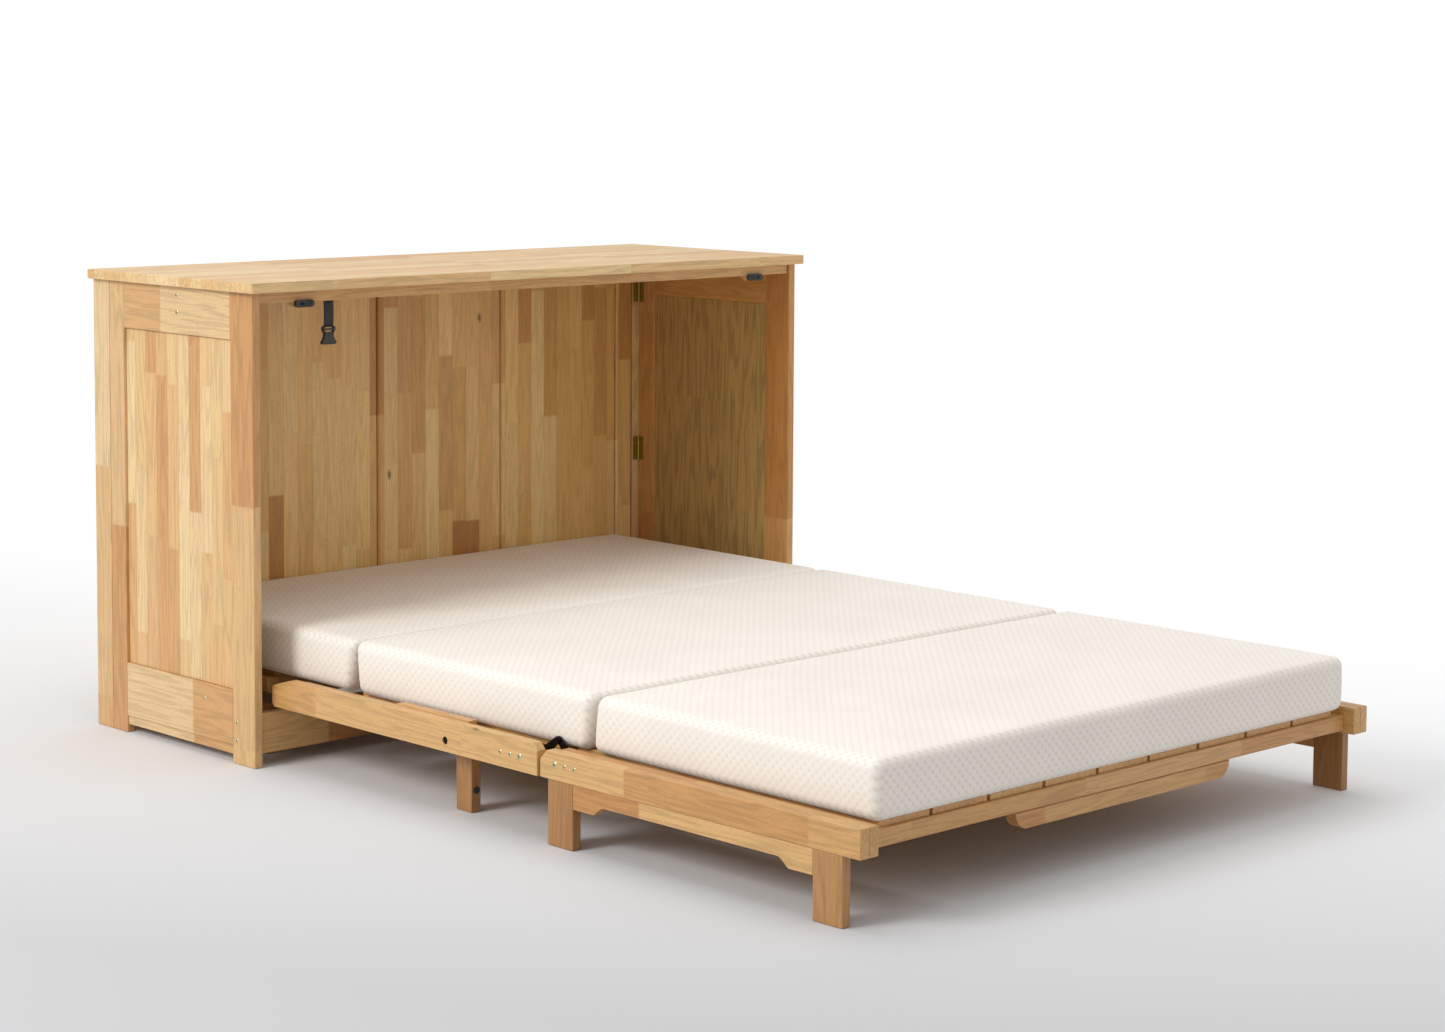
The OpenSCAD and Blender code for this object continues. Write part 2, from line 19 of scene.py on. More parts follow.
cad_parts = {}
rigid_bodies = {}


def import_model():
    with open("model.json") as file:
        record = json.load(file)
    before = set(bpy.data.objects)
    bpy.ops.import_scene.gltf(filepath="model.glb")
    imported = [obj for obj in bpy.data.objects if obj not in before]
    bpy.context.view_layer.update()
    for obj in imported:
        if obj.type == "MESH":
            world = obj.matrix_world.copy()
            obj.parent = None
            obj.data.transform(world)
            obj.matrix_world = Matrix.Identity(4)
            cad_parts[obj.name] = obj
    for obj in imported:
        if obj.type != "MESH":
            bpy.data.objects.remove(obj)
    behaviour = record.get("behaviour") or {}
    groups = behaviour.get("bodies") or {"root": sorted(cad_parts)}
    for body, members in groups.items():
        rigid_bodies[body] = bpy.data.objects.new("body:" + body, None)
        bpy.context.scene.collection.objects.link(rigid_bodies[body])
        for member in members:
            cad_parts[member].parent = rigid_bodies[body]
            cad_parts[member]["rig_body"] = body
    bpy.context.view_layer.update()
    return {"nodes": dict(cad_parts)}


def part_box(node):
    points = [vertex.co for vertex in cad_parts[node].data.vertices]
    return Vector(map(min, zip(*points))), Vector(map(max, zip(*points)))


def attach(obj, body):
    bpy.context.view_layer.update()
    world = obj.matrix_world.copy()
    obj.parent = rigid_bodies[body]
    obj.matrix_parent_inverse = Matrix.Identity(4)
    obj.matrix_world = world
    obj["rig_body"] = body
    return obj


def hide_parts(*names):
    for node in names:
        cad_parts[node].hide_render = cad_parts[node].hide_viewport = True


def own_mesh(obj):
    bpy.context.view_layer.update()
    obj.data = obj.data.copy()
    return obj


log = logging.getLogger("cabinet_bed")


# ---- Colour and node helpers ----

Colour = tuple[float, float, float, float]
Tree = bpy.types.NodeTree
Socket = bpy.types.NodeSocket
Node = bpy.types.Node
Pieces = dict[str, bpy.types.Object]

MATH = "ShaderNodeMath"
PLUS = {"operation": "ADD"}
TIMES = {"operation": "MULTIPLY"}
TIMES_PLUS = {"operation": "MULTIPLY_ADD"}
OVER = {"operation": "DIVIDE"}
FLOOR = {"operation": "FLOOR"}
SINE = {"operation": "SINE"}

COLOURS = "ShaderNodeMix"
DARKEN = {"data_type": "RGBA", "blend_type": "MULTIPLY"}
COVER = {"data_type": "RGBA", "blend_type": "MIX"}
LOW, HIGH, MIXED = 6, 7, 2

RAMP = "ShaderNodeValToRGB"
NOISE = "ShaderNodeTexNoise"
BUMP = "ShaderNodeBump"
JOIN_XYZ = "ShaderNodeCombineXYZ"
SPLIT_XYZ = "ShaderNodeSeparateXYZ"
ATTRIBUTE = "GeometryNodeInputNamedAttribute"
ON_POINTS = "GeometryNodeInstanceOnPoints"
SET_MATERIAL = "GeometryNodeSetMaterial"


def linear(code: str) -> Colour:
    """Turn an sRGB hex colour into the linear colour that a shader takes.

    Args:
        code: six hex digits.

    Returns:
        Linear red, green, blue and an alpha of 1.
    """
    parts = []
    for i in (0, 2, 4):
        c = int(code[i : i + 2], 16) / 255.0
        parts.append(c / 12.92 if c <= 0.04045 else ((c + 0.055) / 1.055) ** 2.4)
    return (parts[0], parts[1], parts[2], 1.0)


def grey(value: float) -> Colour:
    """Return a linear grey of that value."""
    return (value, value, value, 1.0)


def fill(tree: Tree, node: Node, inputs: dict[int | str, Any] | tuple) -> None:
    """Set or link a node's inputs.

    Args:
        tree: the node tree.
        node: the node.
        inputs: values, nodes or output sockets, in the inputs' order or by index or name.
    """
    pairs = inputs.items() if isinstance(inputs, dict) else enumerate(inputs)
    for key, value in pairs:
        if isinstance(value, Node):
            value = value.outputs[0]
        if isinstance(value, Socket):
            tree.links.new(value, node.inputs[key])
        else:
            node.inputs[key].default_value = value


def add(
    tree: Tree,
    kind: str,
    settings: dict[str, Any] | None = None,
    inputs: dict[int | str, Any] | tuple = (),
) -> Node:
    """Add one node with its settings and links.

    Args:
        tree: the node tree that takes the node.
        kind: the node's type name.
        settings: properties to set; stops holds a colour ramp's places and colours.
        inputs: values, nodes or output sockets, in the inputs' order or by index or name.

    Returns:
        The new node. Given as an input, it stands for its first output.
    """
    node = tree.nodes.new(kind)
    for name, value in (settings or {}).items():
        if name == "stops":
            elements = node.color_ramp.elements
            while len(elements) < len(value):
                elements.new(0.5)
            for element, (place, colour) in zip(elements, value):
                element.position = place
                element.color = colour
        else:
            setattr(node, name, value)
    fill(tree, node, inputs)
    return node


def new_material(name: str) -> tuple[bpy.types.Material, Tree, Node]:
    """Start a material.

    Args:
        name: its name.

    Returns:
        The material, its tree, and its Principled BSDF.
    """
    material = bpy.data.materials.new(name)
    material.use_nodes = True
    tree = material.node_tree
    return material, tree, tree.nodes["Principled BSDF"]


def millimetres(tree: Tree) -> Node:
    """Return the object coordinates in millimetres."""
    place = add(tree, "ShaderNodeTexCoord").outputs["Object"]
    return add(
        tree, "ShaderNodeVectorMath", {"operation": "SCALE"}, {0: place, "Scale": 1000.0}
    )


# ---- Finishes ----


class Grain(Enum):
    """How a board lies: its grain, strip and thickness axes, as indices of X, Y and Z."""

    ALONG_X_FLAT = (0, 1, 2)
    ALONG_X_ON_EDGE = (0, 2, 1)
    ALONG_Y_FLAT = (1, 0, 2)
    ALONG_Y_ON_EDGE = (1, 2, 0)
    UPRIGHT_SIDE = (2, 1, 0)
    UPRIGHT_BACK = (2, 0, 1)


@dataclass(frozen=True)
class Rubberwood:
    """Finger-jointed rubberwood strips, glued up, planed and clear lacquered.

    Short blocks of different trees give each strip its own tint; thin growth lines and short
    dark pore flecks run along the grain, and the satin lacquer leaves a soft sheen.
    """

    name: str
    tints: tuple[str, ...]
    strip_mm: float = 42.0
    block_mm: float = 360.0
    line_depth: float = 0.20
    roughness: float = 0.42

    def material(self, grain: Grain, lot: int = 0) -> bpy.types.Material:
        """Build the finish for boards that lie one way, or return it if it is there.

        Args:
            grain: the boards' axes.
            lot: which stack of timber they come from, so that neighbours differ.

        Returns:
            The material.
        """
        title = f"{self.name}_{grain.name.lower()}_lot_{lot}"
        if title in bpy.data.materials:
            return bpy.data.materials[title]
        material, tree, shader = new_material(title)
        split = add(tree, SPLIT_XYZ, None, (millimetres(tree),)).outputs
        along, over, deep = (split[i] for i in grain.value)

        # Strips across the board, each shifted along the grain by its own random share
        strip = add(tree, MATH, FLOOR, (add(tree, MATH, OVER, (over, self.strip_mm)),))
        chance = add(
            tree,
            "ShaderNodeTexWhiteNoise",
            {"noise_dimensions": "1D"},
            {"W": add(tree, MATH, PLUS, (strip, 37.0 * lot))},
        )
        # The comb of a finger joint: 4 mm pitch, 5 mm deep, on its edge at the block ends
        tooth = add(tree, MATH, {"operation": "PINGPONG"}, (over, 2.0))
        start = add(tree, MATH, PLUS, (along, add(tree, MATH, TIMES, (tooth, 2.5))))
        shift = add(tree, MATH, TIMES, (chance, self.block_mm * 3.7))
        block_place = add(tree, MATH, PLUS, (start, shift))
        block = add(
            tree, MATH, FLOOR, (add(tree, MATH, OVER, (block_place, self.block_mm)),)
        )
        cell = add(tree, JOIN_XYZ, None, (strip, block, 5.0 * lot))
        pick = add(tree, "ShaderNodeTexWhiteNoise", {"noise_dimensions": "3D"}, (cell,))
        last = len(self.tints) - 1
        tints = [(i / last, linear(tint)) for i, tint in enumerate(self.tints)]
        colour = add(tree, RAMP, {"stops": tints}, (pick,))
        lane = add(tree, MATH, TIMES, (pick, 37.0))

        def drawn_out(length: float, width: float, start: Any = 0.0) -> Node:
            """Return the place in the board, counted along and across the grain."""
            return add(
                tree,
                JOIN_XYZ,
                None,
                (
                    add(tree, MATH, TIMES_PLUS, (along, length, start)),
                    add(tree, MATH, TIMES, (over, width)),
                    add(tree, MATH, TIMES, (deep, width)),
                ),
            )

        # Growth lines: contours of a noise drawn out along the grain, 6 to 12 mm apart
        place = drawn_out(0.0016, 0.022, lane)
        noise = {"Vector": place, "Scale": 1.0, "Detail": 3.0, "Roughness": 0.45}
        swell = add(tree, NOISE, None, noise)
        wave = add(tree, MATH, SINE, (add(tree, MATH, TIMES, (swell, 62.0)),))
        lines = add(tree, MATH, TIMES_PLUS, (wave, 0.5, 0.5))
        # Fine fibre, under a millimetre wide and about 60 mm long
        place = drawn_out(0.016, 0.55, lane)
        noise = {"Vector": place, "Scale": 1.0, "Detail": 4.0, "Roughness": 0.6}
        fibre = add(tree, NOISE, None, noise)
        # Pore flecks: 1 mm wide and 12 mm long, drawn a little coarse so that they show
        pores = add(
            tree,
            NOISE,
            None,
            {"Vector": drawn_out(0.075, 0.85, lane), "Scale": 1.0, "Detail": 1.0},
        )
        stops = [(0.0, grey(0.0)), (0.64, grey(0.0)), (0.72, grey(1.0))]
        fleck = add(tree, RAMP, {"stops": stops}, (pores,))
        # Small knots, a few to a square metre
        knot_near = add(
            tree,
            "ShaderNodeTexVoronoi",
            {"feature": "F1"},
            {"Vector": drawn_out(0.0026, 0.0054), "Scale": 1.0},
        )
        stops = [(0.0, grey(1.0)), (0.020, grey(0.7)), (0.042, grey(0.0))]
        knot = add(tree, RAMP, {"stops": stops}, (knot_near,))
        # Glue lines between the strips, 1.2 mm wide and barely darker
        seam_near = add(
            tree,
            MATH,
            {"operation": "PINGPONG"},
            (add(tree, MATH, OVER, (over, self.strip_mm)), 0.5),
        )
        seam = add(
            tree, MATH, {"operation": "LESS_THAN"}, (seam_near, 0.6 / self.strip_mm)
        )

        stops = [(0.0, grey(1.0 - self.line_depth)), (0.6, grey(1.0)), (1.0, grey(1.0))]
        shade = add(tree, RAMP, {"stops": stops}, (lines,))
        thread = add(
            tree, RAMP, {"stops": [(0.30, grey(0.80)), (0.62, grey(1.08))]}, (fibre,)
        )
        for blend, share, layer in (
            (DARKEN, 0.8, shade),
            (DARKEN, 0.75, thread),
            (COVER, add(tree, MATH, TIMES, (fleck, 0.42)), linear("8A5A2C")),
            (COVER, knot, linear("5A3518")),
            (DARKEN, add(tree, MATH, TIMES, (seam, 0.35)), linear("B98A55")),
        ):
            parts = {0: share, LOW: colour, HIGH: layer}
            colour = add(tree, COLOURS, blend, parts).outputs[MIXED]

        depth = add(tree, MATH, TIMES, (fleck, 0.8))
        height = add(tree, MATH, {"operation": "SUBTRACT"}, (fibre, depth))
        relief = {"Strength": 0.35, "Distance": 0.0003, "Height": height}
        gloss = add(tree, MATH, TIMES_PLUS, (fibre, 0.12, self.roughness - 0.06))
        finish = {
            "Base Color": colour,
            "Roughness": gloss,
            "IOR": 1.5,
            "Coat Weight": 0.12,
            "Coat Roughness": 0.28,
            "Normal": add(tree, BUMP, None, relief),
        }
        fill(tree, shader, finish)
        return material


@dataclass(frozen=True)
class Finish:
    """A finish that looks the same whichever way its piece lies."""

    name: str
    colour: str

    def material(self) -> bpy.types.Material:
        """Build the finish, or return it if it is there."""
        if self.name in bpy.data.materials:
            return bpy.data.materials[self.name]
        material, tree, shader = new_material(self.name)
        fill(tree, shader, self.inputs(tree))
        return material

    def inputs(self, tree: Tree) -> dict[str, Any]:
        """Make the nodes and return what goes into the shader, by input name."""
        raise NotImplementedError


@dataclass(frozen=True)
class Metal(Finish):
    """Plated steel or brass with a faintly cloudy tone and a satin polish."""

    roughness: float = 0.32

    def inputs(self, tree: Tree) -> dict[str, Any]:
        """Make a cloudy tone and polish; see Finish."""
        place = {"Vector": millimetres(tree), "Scale": 0.35, "Detail": 4.0}
        cloud = add(tree, NOISE, None, place)
        tone = add(tree, RAMP, {"stops": [(0.35, grey(0.82)), (0.65, grey(1.0))]}, (cloud,))
        parts = {0: 1.0, LOW: linear(self.colour), HIGH: tone}
        return {
            "Base Color": add(tree, COLOURS, DARKEN, parts).outputs[MIXED],
            "Roughness": add(tree, MATH, TIMES_PLUS, (cloud, 0.2, self.roughness - 0.1)),
            "Metallic": 1.0,
        }


@dataclass(frozen=True)
class MouldedPlastic(Finish):
    """Black acetal or nylon out of a spark-eroded mould, so slightly mottled in its gloss."""

    roughness: float = 0.38
    grit_highlight: str = "35352F"

    def inputs(self, tree: Tree) -> dict[str, Any]:
        """Make the mould's fine grit; see Finish."""
        place = {"Vector": millimetres(tree), "Scale": 1.4, "Detail": 2.0}
        grit = add(tree, NOISE, None, place)
        # Painted highlight: the grit's raised specks are painted lighter
        stops = [(0.3, linear(self.colour)), (0.7, linear(self.grit_highlight))]
        relief = {"Strength": 0.3, "Distance": 0.0001, "Height": grit}
        return {
            "Base Color": add(tree, RAMP, {"stops": stops}, (grit,)),
            "Roughness": add(tree, MATH, TIMES_PLUS, (grit, 0.16, self.roughness - 0.08)),
            "Normal": add(tree, BUMP, None, relief),
        }


@dataclass(frozen=True)
class Webbing(Finish):
    """Polypropylene webbing: a ribbed weave of 1.6 mm cords across a 25 mm band."""

    rib_mm: float = 1.6
    raised_highlight: str = "3A3A3C"

    def inputs(self, tree: Tree) -> dict[str, Any]:
        """Make the weave; see Finish."""
        x, _, z = add(tree, SPLIT_XYZ, None, (millimetres(tree),)).outputs
        turn = 2.0 * math.pi / self.rib_mm
        ribs = add(tree, MATH, SINE, (add(tree, MATH, TIMES, (z, turn)),))
        cords = add(tree, MATH, SINE, (add(tree, MATH, TIMES, (x, turn * 0.6)),))
        crossed = add(tree, MATH, TIMES, (ribs, cords))
        weave = add(tree, MATH, TIMES_PLUS, (crossed, 0.5, 0.5))
        # Painted light: the raised cords are painted lighter and the hollows between them darker
        stops = [(0.0, linear(self.colour)), (1.0, linear(self.raised_highlight))]
        relief = {"Strength": 0.6, "Distance": 0.0004, "Height": weave}
        return {
            "Base Color": add(tree, RAMP, {"stops": stops}, (weave,)),
            "Roughness": 0.72,
            "Normal": add(tree, BUMP, None, relief),
        }


@dataclass(frozen=True)
class QuiltedKnit(Finish):
    """Double-knit mattress ticking: soft off-white yarn with diamond dimples 14 mm apart."""

    hollow_shade: str
    pitch_mm: float = 14.0

    def inputs(self, tree: Tree) -> dict[str, Any]:
        """Make the quilting, the yarn and a soft unevenness; see Finish."""
        place = millimetres(tree)
        x, y, z = add(tree, SPLIT_XYZ, None, (place,)).outputs
        turn = 2.0 * math.pi / (self.pitch_mm * math.sqrt(2.0))
        # Three diagonal families cross as diamonds on the top, the sides and the foot alike
        quilt: Any = 0.0
        for signs in ((1, 1, 1), (1, -1, 1), (1, 1, -1)):
            total: Any = 0.0
            for axis, sign in zip((x, y, z), signs):
                total = add(tree, MATH, TIMES_PLUS, (axis, turn * sign, total))
            wave = add(tree, MATH, {"operation": "COSINE"}, (total,))
            quilt = add(tree, MATH, PLUS, (wave, quilt))
        quilt = add(tree, MATH, TIMES_PLUS, (quilt, 1.0 / 6.0, 0.5))
        yarn = add(tree, NOISE, None, {"Vector": place, "Scale": 0.9, "Detail": 2.0})
        soft = add(tree, NOISE, None, {"Vector": place, "Scale": 0.006, "Detail": 2.0})
        # Painted shade: the dimples' hollows are painted darker than the quilt between them
        stops = [(0.08, linear(self.hollow_shade)), (0.5, linear(self.colour))]
        tone = add(tree, RAMP, {"stops": stops}, (quilt,))
        cloud = add(tree, RAMP, {"stops": [(0.3, grey(0.955)), (0.7, grey(1.0))]}, (soft,))
        height = add(tree, MATH, TIMES_PLUS, (yarn, 0.25, quilt))
        relief = {"Strength": 0.5, "Distance": 0.0013, "Height": height}
        parts = {0: 1.0, LOW: tone, HIGH: cloud}
        return {
            "Base Color": add(tree, COLOURS, DARKEN, parts).outputs[MIXED],
            "Roughness": 0.88,
            "Sheen Weight": 0.25,
            "Sheen Roughness": 0.5,
            "Normal": add(tree, BUMP, None, relief),
        }


OUTSIDE = Rubberwood(
    "rubberwood_satin_lacquer",
    ("C98F5A", "DBB076", "E3BF88", "D39F68", "E8CB99", "DDB27A"),
)
STILE = Rubberwood(
    "rubberwood_stile_lacquer",
    ("C8925B", "D6AB73", "DCB884", "D0A069", "E0C190", "CB9862"),
    strip_mm=400.0,
    block_mm=520.0,
)
# Painted shade: the right side's stiles and rails take darker tints for the shade on the
# cabinet's inner right face
PAINTED_SHADE_STILE = Rubberwood(
    "rubberwood_warm_stile_lacquer",
    ("C48B4C", "CE9857", "D6A262", "C89050"),
    strip_mm=400.0,
    block_mm=520.0,
)
# Painted shade: the legs take darker tints for the shade on their faces towards the foot
PAINTED_SHADE_LEG = Rubberwood(
    "rubberwood_leg_lacquer",
    ("A3723E", "AC7B48", "B68550", "A1703C"),
    strip_mm=400.0,
    block_mm=700.0,
)
TOP = Rubberwood(
    "rubberwood_top_lacquer",
    ("D6A469", "DFB77E", "E7C68F", "DDB279", "ECCF9E", "D9A96F"),
    block_mm=420.0,
)
FRAME = Rubberwood(
    "rubberwood_frame_lacquer",
    ("BF874E", "CB9A5E", "D5A96E", "C59256", "D8AE76", "C48C52"),
    strip_mm=400.0,
    block_mm=480.0,
)
INSIDE = Rubberwood(
    "rubberwood_back_lacquer",
    ("B97C3F", "D8A65E", "EEC680", "DDAC64", "F0CE8E", "CA8E4E"),
    strip_mm=42.0,
    block_mm=380.0,
    line_depth=0.13,
)
LINER = Rubberwood(
    "plywood_raw",
    ("B89759", "BF9E60", "C6A567"),
    strip_mm=400.0,
    block_mm=1800.0,
    line_depth=0.34,
    roughness=0.6,
)
ZINC = Metal("yellow_zinc_plate", "E3D7A8", 0.3)
STEEL = Metal("bright_zinc_plate", "A9ACAE", 0.36)
# Near-black steel; on the fold plates it is painted shade, so that their ears read as the shadow
# between the mattress sections
DARK_STEEL_AND_SHADE = Metal("black_zinc_plate", "2B2B2C", 0.45)
BRASS = Metal("polished_brass", "A8924E", 0.3)
BLACK = MouldedPlastic("black_acetal_moulded", "1C1C1B")
# Painted shade: the screws' driver recess is a dark cross laid over the head for the shade in its
# hole
RECESS_SHADOW = MouldedPlastic("screw_recess_shadow", "2A261C", 0.6)
STRAP = Webbing("black_polypropylene_webbing", "151516")
KNIT = QuiltedKnit("off_white_double_knit", "F2EBE1", "E3D9CC")


# ---- Mesh helpers ----


def put(name: str, mesh: bpy.types.Mesh, material: bpy.types.Material | None) -> bpy.types.Object:
    """Make an object at the origin from a mesh.

    Args:
        name: the piece's name.
        mesh: its mesh, in the frame's axes.
        material: its finish, or None to keep the mesh's own.

    Returns:
        The linked object.
    """
    piece = bpy.data.objects.new(name, mesh)
    bpy.context.scene.collection.objects.link(piece)
    if material is not None:
        mesh.materials.clear()
        mesh.materials.append(material)
    return piece


def ease_edges(solid: bmesh.types.BMesh, radius: float, shortest: float = 0.009) -> None:
    """Round the long outer edges of a board, as a sanded edge is.

    Args:
        solid: the board, merged.
        radius: the rounding.
        shortest: edges below this length, such as a hole's rim, stay sharp.
    """
    bmesh.ops.remove_doubles(solid, verts=solid.verts, dist=1e-5)
    bmesh.ops.dissolve_limit(
        solid, angle_limit=math.radians(0.6), verts=solid.verts, edges=solid.edges
    )
    sharp = [
        e
        for e in solid.edges
        if len(e.link_faces) == 2
        and e.calc_length() > shortest
        and e.calc_face_angle(0.0) > math.radians(24)
        and e.calc_face_angle_signed(0.0) > 0.0
    ]
    bmesh.ops.bevel(
        solid,
        geom=sharp,
        offset=radius,
        offset_type="OFFSET",
        segments=2,
        profile=0.5,
        affect="EDGES",
        clamp_overlap=False,
    )


def eased_copy(
    nodes: Pieces,
    node: str,
    material: bpy.types.Material,
    radius: float,
) -> bpy.types.Object:
    """Stand a board with eased edges in for a CAD node.

    Args:
        nodes: the frame's CAD nodes.
        node: the node's name.
        material: the board's finish.
        radius: the edge rounding.

    Returns:
        The new piece, which rides on the node's body.
    """
    source = nodes[node]
    solid = bmesh.new()
    solid.from_mesh(source.data)
    ease_edges(solid, radius)
    mesh = bpy.data.meshes.new(f"{node}_eased")
    solid.to_mesh(mesh)
    solid.free()
    piece = put(f"{node}_eased", mesh, material)
    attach(piece, source["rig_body"])
    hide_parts(node)
    log.info("%s: %d faces", piece.name, len(mesh.polygons))
    return piece


def set_input(
    piece: bpy.types.Object, modifier: bpy.types.Modifier, label: str, value: Any
) -> None:
    """Set one of a Geometry Nodes modifier's inputs by its socket identifier.

    Args:
        piece: the object that has the modifier.
        modifier: the modifier.
        label: the input's label.
        value: the value.
    """
    for item in modifier.node_group.interface.items_tree:
        if item.item_type == "SOCKET" and item.in_out == "INPUT" and item.name == label:
            modifier[item.identifier] = value
            return
    raise KeyError(f"{piece.name} has no input {label}")


def bake_nodes(
    name: str,
    points: bpy.types.Mesh,
    tree: Tree,
    values: dict[str, Any],
) -> bpy.types.Mesh:
    """Run a Geometry Nodes tree over some points and keep the result as a plain mesh.

    Args:
        name: the result's name.
        points: a mesh whose vertices carry the pieces.
        tree: the tree.
        values: the tree's inputs, by label.

    Returns:
        The realized mesh, with its materials.
    """
    carrier = bpy.data.objects.new(f"{name}_points", points)
    bpy.context.scene.collection.objects.link(carrier)
    modifier = carrier.modifiers.new("pieces", "NODES")
    modifier.node_group = tree
    for label, value in values.items():
        set_input(carrier, modifier, label, value)
    bpy.context.view_layer.update()
    result = bpy.data.meshes.new_from_object(
        carrier.evaluated_get(bpy.context.evaluated_depsgraph_get())
    )
    carrier.modifiers.remove(modifier)
    bpy.data.objects.remove(carrier)
    result.name = name
    return result


def point_mesh(
    name: str, places: list[Vector], sizes: list[tuple[float, float, float]]
) -> bpy.types.Mesh:
    """Make a mesh of loose points that each carry a size.

    Args:
        name: its name.
        places: the points.
        sizes: the vector stored with each point as piece_size.

    Returns:
        The mesh.
    """
    mesh = bpy.data.meshes.new(name)
    mesh.from_pydata([tuple(p) for p in places], [], [])
    layer = mesh.attributes.new("piece_size", "FLOAT_VECTOR", "POINT")
    for i, size in enumerate(sizes):
        layer.data[i].vector = size
    return mesh


def new_tree(name: str, inputs: dict[str, str]) -> tuple[Tree, Node]:
    """Start a Geometry Nodes tree.

    Args:
        name: its name.
        inputs: label to socket type, after the geometry.

    Returns:
        The tree and its group input node.
    """
    tree = bpy.data.node_groups.new(name, "GeometryNodeTree")
    tree.interface.new_socket(name="Geometry", in_out="INPUT", socket_type="NodeSocketGeometry")
    for label, kind in inputs.items():
        tree.interface.new_socket(name=label, in_out="INPUT", socket_type=kind)
    tree.interface.new_socket(name="Geometry", in_out="OUTPUT", socket_type="NodeSocketGeometry")
    return tree, add(tree, "NodeGroupInput")


def end_tree(tree: Tree, instances: Node, material: bpy.types.Material | None) -> None:
    """Realize the instances, give them their finish and end the tree.

    Args:
        tree: the tree.
        instances: what it made.
        material: the finish, or None where the shapes have theirs.
    """
    shape = add(tree, "GeometryNodeRealizeInstances", None, (instances,))
    if material is not None:
        shape = add(tree, SET_MATERIAL, None, {"Geometry": shape, "Material": material})
    add(tree, "NodeGroupOutput", None, (shape,))


def board_row_tree(material: bpy.types.Material) -> Tree:
    """Make the tree that lays a board of its own size on every point.

    Args:
        material: the boards' finish.

    Returns:
        The tree.
    """
    tree, start = new_tree("board_row", {"Thickness": "NodeSocketFloat"})
    size = add(tree, ATTRIBUTE, {"data_type": "FLOAT_VECTOR"}, {"Name": "piece_size"})
    across, along, _ = add(tree, SPLIT_XYZ, None, (size,)).outputs
    board = add(tree, "GeometryNodeMeshCube", None, {"Size": (1.0, 1.0, 1.0)})
    scale = add(tree, JOIN_XYZ, None, (across, along, start.outputs["Thickness"]))
    row = {"Points": start.outputs["Geometry"], "Instance": board, "Scale": scale}
    end_tree(tree, add(tree, ON_POINTS, None, row), material)
    return tree


def screw_tree(head: bpy.types.Material, recess: bpy.types.Material) -> Tree:
    """Make the tree that seats a pan head screw, facing along X, on every point.

    Args:
        head: the head's finish.
        recess: the finish of the driver recess, a dark cross of painted shade.

    Returns:
        The tree.
    """
    tree, start = new_tree(
        "pan_head_screws", {"Crown": "NodeSocketFloat", "Recess": "NodeSocketFloat"}
    )
    crown, length = start.outputs["Crown"], start.outputs["Recess"]
    slot_width, proud = 0.16, 2.03
    size = add(tree, ATTRIBUTE, {"data_type": "FLOAT_VECTOR"}, {"Name": "piece_size"})
    ball = {"Segments": 20, "Rings": 10, "Radius": 1.0}
    dome = add(tree, "GeometryNodeMeshUVSphere", None, ball)
    flat = add(tree, JOIN_XYZ, None, (crown, 1.0, 1.0))
    dome = add(tree, "GeometryNodeTransform", None, {"Geometry": dome, "Scale": flat})
    shapes = [add(tree, SET_MATERIAL, None, {"Geometry": dome, "Material": head})]
    # The two dark bars are painted shade for the driver recess
    for wide, tall in ((length, slot_width), (slot_width, length)):
        depth = add(tree, MATH, TIMES, (crown, proud))
        bar_size = add(tree, JOIN_XYZ, None, (depth, wide, tall))
        bar = add(tree, "GeometryNodeMeshCube", None, {"Size": bar_size})
        shapes.append(add(tree, SET_MATERIAL, None, {"Geometry": bar, "Material": recess}))
    join = add(tree, "GeometryNodeJoinGeometry")
    for shape in shapes:
        tree.links.new(shape.outputs[0], join.inputs[0])
    row = {"Points": start.outputs["Geometry"], "Instance": join, "Scale": size}
    end_tree(tree, add(tree, ON_POINTS, None, row), None)
    return tree


# ---- Sub-assemblies ----


@dataclass
class Joinery:
    """Boards of one sub-assembly that keep their CAD shape and get eased edges."""

    nodes: Pieces
    boards: dict[str, tuple[Rubberwood, Grain, str]]
    ease: float = 0.0018

    def build(self) -> None:
        """Make every board."""
        for lot, (node, (finish, grain, slot)) in enumerate(self.boards.items()):
            eased_copy(self.nodes, node, finish.material(grain, lot % 7), self.ease)


@dataclass
class SlatDeck:
    """Lengthwise slats of one section, laid side by side on its cross rails."""

    nodes: Pieces
    node: str
    pitch: float = 0.154
    gap: float = 0.008
    ease: float = 0.0012

    def build(self) -> None:
        """Lay the slats over the CAD node's box."""
        low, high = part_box(self.node)
        half = high[0]
        middle_y, middle_z = (low[1] + high[1]) / 2, (low[2] + high[2]) / 2
        reach = math.ceil((half - self.pitch / 2) / self.pitch)
        places, sizes = [], []
        for i in range(-reach, reach + 1):
            left = max(i * self.pitch - (self.pitch - self.gap) / 2, -half)
            right = min(i * self.pitch + (self.pitch - self.gap) / 2, half)
            if right - left > 0.012:
                places.append(Vector(((left + right) / 2, middle_y, middle_z)))
                sizes.append((right - left, high[1] - low[1], 1.0))
        material = FRAME.material(Grain.ALONG_Y_FLAT)
        mesh = bake_nodes(
            f"{self.node}_laid",
            point_mesh(f"{self.node}_places", places, sizes),
            board_row_tree(material),
            {"Thickness": high[2] - low[2]},
        )
        solid = bmesh.new()
        solid.from_mesh(mesh)
        ease_edges(solid, self.ease)
        solid.to_mesh(mesh)
        solid.free()
        piece = put(f"{self.node}_laid", mesh, material)
        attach(piece, self.nodes[self.node]["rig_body"])
        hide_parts(self.node)
        log.info("%s: %d slats", piece.name, len(places))


